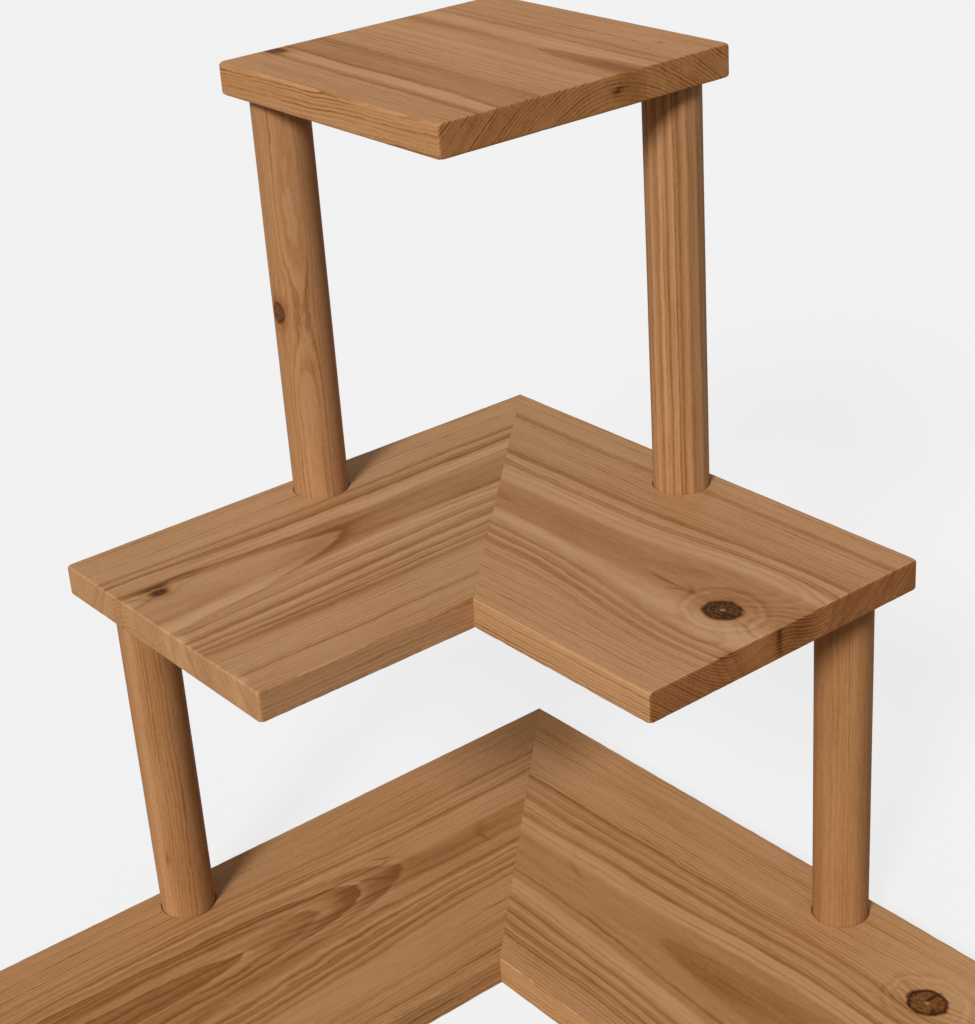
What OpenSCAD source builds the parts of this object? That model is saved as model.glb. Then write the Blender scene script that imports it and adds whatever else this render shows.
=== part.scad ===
// Corner display stand: a square top board over two L-shaped shelves, on four round posts.
// Sizes are in millimetres. The stand rests on Z = 0 with its middle over the origin.
// The room's corner is at +X +Y: left arms run along -X from it, right arms along -Y.

/* [Boards] */
// Width of the board that every shelf is cut from
board_w = 190; // [170:1:260]
// Thickness of the board
board_t = 17.5; // [15:0.5:30]
// Radius that takes the sharpness off the boards' long and end edges
edge_r = 1.5; // [0.5:0.1:3]
// Radius of the boards' upright corners
corner_r = 2.5; // [1:0.5:6]

/* [Tiers] */
// How much further each tier's arms reach than those of the tier above
tier_step = 133; // [60:1:220]
// Height from the middle tier's top face to the top board's top face
upper_rise = 250; // [120:1:400]
// Height from the base tier's top face to the middle tier's top face
lower_rise = 231; // [120:1:400]

/* [Posts] */
// Diameter of the round posts
post_d = 32; // [22:1:34]
// Distance from the wall side of a shelf to the centres of its posts
post_back_inset = 20; // [18.5:0.5:40]
// Distance from the top board's front edges to the centres of its posts
top_post_inset = 23; // [20:1:60]
// Distance from the middle tier's arm ends to the centres of the lower posts
end_post_inset = 32; // [20:1:60]
// Bevel on the posts' ends
post_bevel = 1; // [0.5:0.5:3]

/* [Sockets] */
// Depth of the socket that a post's foot stands in
foot_depth = 6; // [3:0.5:8]
// Open ring round a post's foot, measured from the post to the socket's wall
foot_gap = 0.5; // [0.2:0.1:1]
// Depth of the blind socket that a post's upper end is glued into
head_depth = 10; // [5:0.5:12]
// Glue line round a post's upper end
glue_gap = 0.1; // [0.05:0.05:0.3]

/* [Screws] */
// Outer diameter of the wood screws' thread
screw_d = 4.2; // [3.5:0.1:5]
// Length of the wood screws
screw_l = 40; // [30:1:50]
// Diameter of the countersunk heads
screw_head_d = 8.2; // [7:0.1:10]
// Height of the countersunk heads
screw_head_h = 2.4; // [2:0.1:4]
// Length of the screws' points
screw_tip = 6; // [3:0.5:8]
// Width of the square recess in a head
screw_recess = 2.9; // [2:0.1:3.5]
// How deep the heads are sunk below the boards' undersides
screw_sink = 0.5; // [0.2:0.1:1.5]
// Clearance round a screw in the board that it passes through
screw_gap = 0.15; // [0.1:0.05:0.4]

/* [Mitres] */
// Number of biscuits across each mitre
biscuits = 3; // [1:1:3]
// Length of a biscuit
biscuit_l = 56; // [40:1:60]
// Width of a biscuit, half of it in each board
biscuit_w = 23; // [15:1:26]
// Thickness of a biscuit
biscuit_t = 4; // [3:0.1:5]
// Width of a biscuit's blunt ends
biscuit_tip = 7; // [4:1:10]
// How far a slot reaches past its biscuit, all round
slot_spare = 1; // [0.5:0.1:2]

/* [Hidden] */
$fn = 96;

// Arm lengths of the three tiers, from the room's corner. The top board is a square.
mid_arm = board_w + tier_step;
base_arm = mid_arm + tier_step;
half = base_arm / 2;

// Heights of the shelves' undersides
base_z = 0;
mid_z = lower_rise;
top_z = lower_rise + upper_rise;

// Distances along an arm, from the room's corner to the posts' centres
upper_post_x = board_w - top_post_inset;
lower_post_x = mid_arm - end_post_inset;

post_r = post_d / 2;
screw_r = screw_d / 2;
screw_head_r = screw_head_d / 2;
// How far a screw reaches into a post, from the post's foot
screw_bite = screw_l - (board_t - foot_depth - screw_sink);
// The thread is a plain shank of its outer size, so its bore is as wide plus a hair's breadth
thread_gap = 0.05;
// Depth of the bore past the screw's point
bore_spare = 2;
recess_depth = 2;
// How closely a biscuit's faces lie to its slot's
slot_gap = 0.05;
mitre_l = board_w * sqrt(2);
// Distance that a cutting shape reaches past the wood that it cuts
past = 1;

wood = "#b98a5e";
post_wood = "#c0905f";
biscuit_wood = "#d6b88c";
steel = "#b9bcc0";

// Flat rectangle with round corners, from the origin along +X and +Y
module rounded_rect(length, width, r) {
    translate([r, 0]) square([length - 2 * r, width]);
    translate([0, r]) square([length, width - 2 * r]);
    for (x = [r, length - r], y = [r, width - r])
        translate([x, y]) circle(r = r);
}

// Board with eased edges: its plan, its long profile and its cross-section carried through each other
module eased_board(length) {
    translate([-length, -board_w, 0]) intersection() {
        linear_extrude(board_t) rounded_rect(length, board_w, corner_r);
        translate([0, board_w, 0]) rotate([90, 0, 0])
            linear_extrude(board_w) rounded_rect(length, board_t, edge_r);
        rotate([90, 0, 90]) linear_extrude(length) rounded_rect(board_w, board_t, edge_r);
    }
}

// Everything on the far side of the mitre, which a left board is cut back from
module mitre_waste() {
    translate([0, 0, -past]) linear_extrude(board_t + 2 * past)
        polygon([[past, past], [-board_w - past, -board_w - past], [past, -board_w - past]]);
}

// Outline of a biscuit or its slot: two arcs that meet the blunt ends
module biscuit_outline(length, width, tip) {
    rise = (width - tip) / 2;
    r = (rise * rise + length * length / 4) / (2 * rise);
    intersection() {
        translate([0, r - width / 2]) circle(r = r);
        translate([0, width / 2 - r]) circle(r = r);
        square([length, width], center = true);
    }
}

// Places what it is given at each biscuit's centre, turned along the mitre
module along_mitre() {
    for (i = [0 : biscuits - 1])
        rotate([0, 0, 45]) translate([-mitre_l * (i + 0.5) / biscuits, 0, board_t / 2]) children();
}

module biscuit() {
    translate([0, 0, -biscuit_t / 2]) linear_extrude(biscuit_t)
        biscuit_outline(biscuit_l, biscuit_w, biscuit_tip);
}

module biscuit_slot() {
    translate([0, 0, -biscuit_t / 2 - slot_gap]) linear_extrude(biscuit_t + 2 * slot_gap)
        biscuit_outline(biscuit_l + 2 * slot_spare, biscuit_w + 2 * slot_spare, biscuit_tip + 2 * slot_spare);
}

// Socket for a post's foot, in a board's top face, with the screw's countersunk hole below it
module foot_socket() {
    translate([0, 0, board_t - foot_depth]) cylinder(r = post_r + foot_gap, h = foot_depth + past);
    rotate_extrude() polygon([[0, -past], [screw_head_r + screw_gap, -past],
        [screw_head_r + screw_gap, screw_sink], [screw_r + screw_gap, screw_sink + screw_head_h],
        [screw_r + screw_gap, board_t], [0, board_t]]);
}

// Blind socket for a post's upper end, in a board's underside
module head_socket() {
    translate([0, 0, -past]) cylinder(r = post_r + glue_gap, h = head_depth + past);
}

// Left board of an L-shaped shelf, from the room's corner along -X
module mitred_board(arm) {
    difference() {
        eased_board(arm);
        mitre_waste();
        along_mitre() biscuit_slot();
    }
}

module mid_board() {
    difference() {
        mitred_board(mid_arm);
        translate([-upper_post_x, -post_back_inset, 0]) foot_socket();
        translate([-lower_post_x, -post_back_inset, 0]) head_socket();
    }
}

module base_board() {
    difference() {
        mitred_board(base_arm);
        translate([-lower_post_x, -post_back_inset, 0]) foot_socket();
    }
}

// Post from its foot, with both ends bevelled and the bore that its screw bites into
module post(length) {
    rotate_extrude() polygon([[screw_r + thread_gap, 0], [post_r - post_bevel, 0],
        [post_r, post_bevel], [post_r, length - post_bevel], [post_r - post_bevel, length],
        [0, length], [0, screw_bite + bore_spare], [screw_r + thread_gap, screw_bite + bore_spare]]);
}

// Countersunk wood screw from the face of its head, point up
module screw() {
    difference() {
        rotate_extrude() polygon([[0, 0], [screw_head_r, 0], [screw_r, screw_head_h],
            [screw_r, screw_l - screw_tip], [0, screw_l]]);
        translate([-screw_recess / 2, -screw_recess / 2, -past])
            cube([screw_recess, screw_recess, recess_depth + past]);
    }
}

// Puts a left-hand piece in its place at the room's corner
module at_corner(z) {
    translate([half, half, z]) children();
}

// Turns a left-hand piece into its right-hand twin, across the diagonal of the room's corner
module right_hand() {
    mirror([1, -1, 0]) children();
}

module top_board() {
    color(wood) at_corner(top_z) difference() {
        eased_board(board_w);
        translate([-upper_post_x, -post_back_inset, 0]) head_socket();
        right_hand() translate([-upper_post_x, -post_back_inset, 0]) head_socket();
    }
}

module mid_left_board() {
    color(wood) at_corner(mid_z) mid_board();
}

module mid_right_board() {
    color(wood) at_corner(mid_z) right_hand() mid_board();
}

module base_left_board() {
    color(wood) at_corner(base_z) base_board();
}

module base_right_board() {
    color(wood) at_corner(base_z) right_hand() base_board();
}

// A post stands in the shelf below and reaches into the underside of the shelf above
module upper_post() {
    translate([-upper_post_x, -post_back_inset, board_t - foot_depth])
        post(upper_rise - board_t + foot_depth + head_depth);
}

module lower_post() {
    translate([-lower_post_x, -post_back_inset, board_t - foot_depth])
        post(lower_rise - board_t + foot_depth + head_depth);
}

module upper_left_post() {
    color(post_wood) at_corner(mid_z) upper_post();
}

module upper_right_post() {
    color(post_wood) at_corner(mid_z) right_hand() upper_post();
}

module lower_left_post() {
    color(post_wood) at_corner(base_z) lower_post();
}

module lower_right_post() {
    color(post_wood) at_corner(base_z) right_hand() lower_post();
}

module mid_mitre_biscuits() {
    color(biscuit_wood) at_corner(mid_z) along_mitre() biscuit();
}

module base_mitre_biscuits() {
    color(biscuit_wood) at_corner(base_z) along_mitre() biscuit();
}

// One screw under each post of a tier, at a distance along the arms
module post_screws(along) {
    translate([-along, -post_back_inset, screw_sink]) screw();
    right_hand() translate([-along, -post_back_inset, screw_sink]) screw();
}

module mid_post_screws() {
    color(steel) at_corner(mid_z) post_screws(upper_post_x);
}

module base_post_screws() {
    color(steel) at_corner(base_z) post_screws(lower_post_x);
}

top_board();
mid_left_board();
mid_right_board();
base_left_board();
base_right_board();
upper_left_post();
upper_right_post();
lower_left_post();
lower_right_post();
mid_mitre_biscuits();
base_mitre_biscuits();
mid_post_screws();
base_post_screws();
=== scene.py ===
# Corner display stand of oiled softwood: the finish of its boards, posts, biscuits and screws

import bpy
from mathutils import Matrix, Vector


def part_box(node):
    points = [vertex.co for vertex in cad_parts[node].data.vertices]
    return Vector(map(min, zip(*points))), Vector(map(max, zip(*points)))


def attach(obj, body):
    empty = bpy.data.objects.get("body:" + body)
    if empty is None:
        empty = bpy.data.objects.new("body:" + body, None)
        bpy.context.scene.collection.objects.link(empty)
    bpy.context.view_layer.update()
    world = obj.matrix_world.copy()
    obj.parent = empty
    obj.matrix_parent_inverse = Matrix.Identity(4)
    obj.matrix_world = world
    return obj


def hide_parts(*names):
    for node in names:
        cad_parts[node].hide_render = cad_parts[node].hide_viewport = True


bl_info = {
    "name": "Corner display stand",
    "version": (1, 0, 0),
    "blender": (4, 5, 0),
    "location": "3D View > Sidebar > Corner stand",
    "description": "Worn shelf boards, turned posts and solid softwood grain for a stepped corner stand",
    "category": "Add Mesh",
}

from dataclasses import dataclass

import bmesh
import bpy
import numpy as np
from bpy.props import FloatProperty, FloatVectorProperty, PointerProperty

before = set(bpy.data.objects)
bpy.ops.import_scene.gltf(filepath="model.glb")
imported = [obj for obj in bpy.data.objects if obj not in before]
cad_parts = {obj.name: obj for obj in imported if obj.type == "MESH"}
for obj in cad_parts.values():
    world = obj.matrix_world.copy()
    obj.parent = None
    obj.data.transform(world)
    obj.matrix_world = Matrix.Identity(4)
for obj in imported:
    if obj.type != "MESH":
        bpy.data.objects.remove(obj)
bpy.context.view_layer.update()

MM = 0.001
BODY = "root"


def span(node):
    """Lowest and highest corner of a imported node, in metres."""
    low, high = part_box(node)
    return np.array(low), np.array(high)


TOP_LOW, TOP_HIGH = span("top_board")
POST_LOW, POST_HIGH = span("upper_left_post")

# The room's corner, at the height of the top board's face
ROOM_CORNER = TOP_HIGH
BOARD_WIDTH = TOP_HIGH[0] - TOP_LOW[0]
BOARD_THICK = TOP_HIGH[2] - TOP_LOW[2]
POST_RADIUS = (POST_HIGH[0] - POST_LOW[0]) / 2


def linear(red, green, blue):
    """An 8-bit screen colour as linear light."""
    screen = np.array((red, green, blue)) / 255
    return tuple(np.where(screen <= 0.04045, screen / 12.92, ((screen + 0.055) / 1.055) ** 2.4))


def number_value(name, description, default, **kind):
    return FloatProperty(name=name, description=description, default=default, min=0, **kind)


def length_value(name, description, default):
    return number_value(name, description, default, unit="LENGTH", precision=5)


def angle_value(name, description, degrees):
    return number_value(name, description, np.radians(degrees), subtype="ANGLE")


def share_value(name, description, default):
    return number_value(name, description, default, max=1, subtype="FACTOR")


def colour_value(name, description, default):
    return FloatVectorProperty(
        name=name, description=description, default=default, size=3, min=0, max=1, subtype="COLOR"
    )


class StandSizes(bpy.types.PropertyGroup):
    """Sizes of the boards, posts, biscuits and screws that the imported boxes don't give."""

    edge_radius: length_value("Edge radius", "Radius of the boards' long edges", 0.9 * MM)
    end_radius: length_value("End radius", "Radius of the edges round the boards' ends", 0.8 * MM)
    corner_radius: length_value("Corner radius", "Radius of the boards' upright corners", 1.6 * MM)
    tip_radius: length_value("Tip radius", "Radius that the corners' tips are sanded to", 4.0 * MM)
    mitre_easing: length_value("Mitre easing", "Radius that the mitre's sharp lips are worn to", 0.06 * MM)
    wear: length_value("Wear", "Deepest dent along the boards' edges", 0.24 * MM)
    cell: length_value("Cell", "Spacing of the boards' mesh", 2.6 * MM)
    post_bevel: length_value("Post bevel", "Bevel on the posts' ends", 1.0 * MM)
    post_flat: length_value("Post flats", "Depth of the sander's flats on the posts", 0.12 * MM)
    foot_gap: length_value("Foot gap", "Open ring round a post's foot", 0.5 * MM)
    glue_gap: length_value("Glue gap", "Glue line round a post's upper end", 0.1 * MM)
    screw_radius: length_value("Screw radius", "Outer radius of the screws' thread", 2.1 * MM)
    screw_core: length_value("Screw core", "Radius of the screws' core, between the threads", 1.45 * MM)
    screw_pitch: length_value("Screw pitch", "Rise of the thread in one turn", 1.8 * MM)
    screw_head_radius: length_value("Screw head radius", "Radius of the countersunk heads", 4.1 * MM)
    screw_head_height: length_value("Screw head height", "Height of the countersunk heads", 2.4 * MM)
    screw_point: length_value("Screw point", "Length of the screws' points", 6.0 * MM)
    screw_recess: length_value("Screw recess", "Half the width of the square recess", 1.45 * MM)
    screw_gap: length_value("Screw gap", "Clearance round a screw in the board", 0.15 * MM)
    thread_gap: length_value("Thread gap", "Clearance round a screw in the post", 0.05 * MM)
    bore_spare: length_value("Bore spare", "Depth of the post's bore past the screw's point", 2.0 * MM)
    biscuit_length: length_value("Biscuit length", "Length of a biscuit", 56 * MM)
    biscuit_width: length_value("Biscuit width", "Width of a biscuit", 23 * MM)
    biscuit_tip: length_value("Biscuit tip", "Width of a biscuit's blunt ends", 7 * MM)
    biscuit_thick: length_value("Biscuit thickness", "Thickness of a biscuit", 4 * MM)
    slot_spare: length_value("Slot spare", "How far a slot reaches past its biscuit", 1.0 * MM)
    slot_gap: length_value("Slot gap", "Clearance between a biscuit's faces and its slot", 0.05 * MM)


class WoodLook(bpy.types.PropertyGroup):
    """Colours and finish of the oiled softwood."""

    pale: colour_value("Pale", "Palest early wood", linear(194, 149, 105))
    early: colour_value("Early wood", "Plain early wood", linear(175, 128, 85))
    middle: colour_value("Middle tone", "Between early and late wood", linear(158, 110, 66))
    late: colour_value("Late wood", "Late wood of a strong ring", linear(130, 82, 42))
    dark: colour_value("Dark", "Knots' rims and resin streaks", linear(60, 34, 16))
    contrast: share_value("Ring contrast", "How dark the lines of the late wood are", 0.42)
    sheen: share_value("Roughness", "Roughness of the oiled face", 0.56)
    relief: length_value("Relief", "Height of the late wood over the early wood", 0.035 * MM)


class StageLook(bpy.types.PropertyGroup):
    """Floor and light."""

    background: share_value("Background", "Brightness of the floor and backdrop as seen", 0.895)
    shadow_share: share_value("Floor shadow", "Share of the seen floor that takes shadows", 0.11)
    bounce: colour_value("Bounce", "How much of its light the floor throws back up", (0.22, 0.185, 0.14))
    ambient: number_value("Ambient", "Strength of the even light all round", 0.31)
    key: number_value("Key", "Light of the main lamp on a facing surface", 0.98)
    key_azimuth: angle_value("Key azimuth", "Bearing of the main lamp from +X", 209)
    key_height: angle_value("Key height", "Main lamp above the horizon", 35)
    key_spread: angle_value("Key spread", "Angle that the main lamp fills", 13)
    side: number_value("Side", "Light of the broad side lamp on a facing surface", 0.07)
    side_azimuth: angle_value("Side azimuth", "Bearing of the side lamp from +X", 178)
    side_height: angle_value("Side height", "Side lamp above the horizon", 18)
    side_spread: angle_value("Side spread", "Angle that the side lamp fills", 50)
    floor_size: length_value("Floor size", "Side of the square floor", 40.0)


# Arithmetic on surfaces


class Field:
    """A number that varies over a surface. Arithmetic on it adds nodes to its material."""

    def __init__(self, tree, socket):
        self.tree = tree
        self.socket = socket

    def math(self, operation, *others):
        node = self.tree.nodes.new("ShaderNodeMath")
        node.operation = operation
        for slot, value in zip(node.inputs, (self, *others)):
            feed(self.tree, value, slot)
        return Field(self.tree, node.outputs[0])

    def __add__(self, other):
        return self.math("ADD", other)

    def __sub__(self, other):
        return self.math("SUBTRACT", other)

    def __mul__(self, other):
        return self.math("MULTIPLY", other)

    def __truediv__(self, other):
        return self.math("DIVIDE", other)

    def __rsub__(self, other):
        return self.scaled(-1, other)

    __radd__ = __add__
    __rmul__ = __mul__

    def __neg__(self):
        return self.math("MULTIPLY", -1.0)

    def scaled(self, factor, offset):
        """self times factor plus offset, in one node."""
        return self.math("MULTIPLY_ADD", factor, offset)

    def squared(self):
        return self.math("MULTIPLY", self)

    def root(self):
        return self.math("SQRT")

    def magnitude(self):
        return self.math("ABSOLUTE")

    def whole(self):
        return self.math("FLOOR")

    def part(self):
        return self.math("FRACT")

    def least(self, other):
        return self.math("MINIMUM", other)

    def most(self, other):
        return self.math("MAXIMUM", other)

    def clamped(self):
        return self.least(1.0).most(0.0)

    def step(self, start, end):
        """Smooth from 0 before start to 1 after end, or from 1 to 0 where start is the greater."""
        node = self.tree.nodes.new("ShaderNodeMapRange")
        node.interpolation_type = "SMOOTHSTEP"
        feed(self.tree, self, node.inputs["Value"])
        node.inputs["From Min"].default_value = min(start, end)
        node.inputs["From Max"].default_value = max(start, end)
        node.inputs["To Min"].default_value = 0.0 if start < end else 1.0
        node.inputs["To Max"].default_value = 1.0 if start < end else 0.0
        return Field(self.tree, node.outputs["Result"])


def feed(tree, value, slot):
    """Links a field to a socket, or sets the socket to a plain number."""
    if isinstance(value, Field):
        tree.links.new(value.socket, slot)
    else:
        slot.default_value = value


def hill(along, radius_along, across, radius_across):
    """A soft round hill, 1 at its middle: e to the power of minus the squared distance in radii."""
    far = (along / radius_along).squared() + (across / radius_across).squared()
    return (-far).math("EXPONENT")


def peak(field, reach):
    """A soft hill over a field's zero: e to the power of minus its square in reaches."""
    return (-(field / reach).squared()).math("EXPONENT")


def vector(tree, *fields):
    node = tree.nodes.new("ShaderNodeCombineXYZ")
    for slot, value in zip(node.inputs, fields):
        feed(tree, value, slot)
    return node.outputs[0]


# How much further along in the noise each of its axes starts, in cells
AXIS_STEP = 7.3


def noise(place, cell, seed, detail=2.0, rough=0.5):
    """Smooth noise from about -1 to 1, with cells of the given size along, across and into the piece."""
    tree = place[0].tree
    node = tree.nodes.new("ShaderNodeTexNoise")
    node.inputs["Scale"].default_value = 1.0
    node.inputs["Detail"].default_value = detail
    node.inputs["Roughness"].default_value = rough
    scaled = [p.scaled(1 / c, seed + AXIS_STEP * i) for i, (p, c) in enumerate(zip(place, cell))]
    tree.links.new(vector(tree, *scaled), node.inputs["Vector"])
    return Field(tree, node.outputs["Fac"]).scaled(2.0, -1.0)


def random_of(number):
    """A random number from 0 to 1 for each whole number."""
    node = number.tree.nodes.new("ShaderNodeTexWhiteNoise")
    node.noise_dimensions = "1D"
    feed(number.tree, number, node.inputs["W"])
    return Field(number.tree, node.outputs["Value"])


def ramp(field, stops):
    """Straight lines between (place from 0 to 1, value from 0 to 1) pairs."""
    node = field.tree.nodes.new("ShaderNodeValToRGB")
    band = node.color_ramp.elements
    while len(band) < len(stops):
        band.new(0.5)
    for element, (place, value) in zip(band, stops):
        element.position = place
        element.color = (value, value, value, 1) if np.isscalar(value) else (*value, 1)
    feed(field.tree, field, node.inputs["Fac"])
    return Field(field.tree, node.outputs["Color"])


# Places of a Mix node's two colours and of its result among its sockets
MIX_FIRST, MIX_SECOND, MIX_RESULT = 6, 7, 2


def tinted(colour, share, tint):
    """A colour times a tint where the share is 1, and as it is where the share is 0."""
    node = colour.tree.nodes.new("ShaderNodeMix")
    node.data_type = "RGBA"
    node.blend_type = "MULTIPLY"
    feed(colour.tree, share, node.inputs["Factor"])
    colour.tree.links.new(colour.socket, node.inputs[MIX_FIRST])
    node.inputs[MIX_SECOND].default_value = (*tint, 1)
    return Field(colour.tree, node.outputs[MIX_RESULT])


def coordinates(tree, frame_axes):
    """The piece's own millimetres: each of frame_axes is (x, y, z, offset), a sum of Object coordinates."""
    node = tree.nodes.new("ShaderNodeTexCoord")
    split = tree.nodes.new("ShaderNodeSeparateXYZ")
    tree.links.new(node.outputs["Object"], split.inputs[0])
    axes = []
    for *shares, offset in frame_axes:
        total = None
        for share, socket in zip(shares, split.outputs):
            if share:
                place = Field(tree, socket)
                total = place.scaled(share / MM, offset / MM if total is None else total)
        axes.append(total)
    return axes


def facing(tree, shares):
    """How far the face looks along one of the frame's directions, from 0 to 1."""
    node = tree.nodes.new("ShaderNodeTexCoord")
    split = tree.nodes.new("ShaderNodeSeparateXYZ")
    tree.links.new(node.outputs["Normal"], split.inputs[0])
    total = None
    for share, socket in zip(shares, split.outputs):
        if share:
            total = Field(tree, socket).scaled(share, 0.0 if total is None else total)
    return total.magnitude()


def new_material(name):
    """A new material, its node tree and its main shader."""
    material = bpy.data.materials.new(name)
    material.use_nodes = True
    tree = material.node_tree
    return material, tree, tree.nodes["Principled BSDF"]


def raise_surface(tree, shader, height):
    """Raises the surface by a height in millimetres, as its light and shade show it."""
    bump = tree.nodes.new("ShaderNodeBump")
    bump.inputs["Distance"].default_value = MM
    feed(tree, height, bump.inputs["Height"])
    tree.links.new(bump.outputs["Normal"], shader.inputs["Normal"])


# Wood


@dataclass
class Figure:
    """How one piece was cut from its log, with shade painted on, in mm along it, across it and into its
    thickness.
    """

    heart: float  # across, where the log's middle lies under the face
    seed: float
    arch: float = 10.0  # how broadly the rings turn over the heart
    into: float = 0.9  # how fast the rings sink into the thickness, below 0 where the heart is above
    spacing: float = 2.8
    drift: float = 0.0  # how far the lines wander across for each mm along
    waver: float = 1.0
    contrast: float = 1.0
    shade: float = 0.0  # how much darker than the others the whole piece is
    grey: float = 0.0  # how far its colours are drawn to grey
    end: tuple = (0.08, 0.10)  # how much darker the ends are, and their lines
    end_warm_shade: float = 0.0  # ends drawn to red: painted warm shade on ends on the shaded side
    side: float = 0.2  # how much stronger the lines on its long sides are
    tones: tuple = ((0, 0), (190, 0))  # (across, tone) pairs from -1, pale, to 1, dark
    # (tip along, across, half widths on the low and the high side, length, tones outside and inside, reach of
    # the inner tone, softness of the edge)
    flames: tuple = ()
    patches: tuple = ()  # (along, across, half length, half width, lean, tone), some of them painted shade
    stains: tuple = ()  # (middle, reach, darkness), the first two along, across and down from the face
    quiet: tuple = ()  # (along, across, half length, half width, share of the lines that is lost)
    swells: tuple = ()  # (along, across, half length, half width, push) that the lines part round
    stems: tuple = ()  # (along, across, half length, half width, push) where rings bend round a branch
    knots: tuple = ()  # (along, across, half length, half width, darkness of its middle, its rim's softness)


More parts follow.
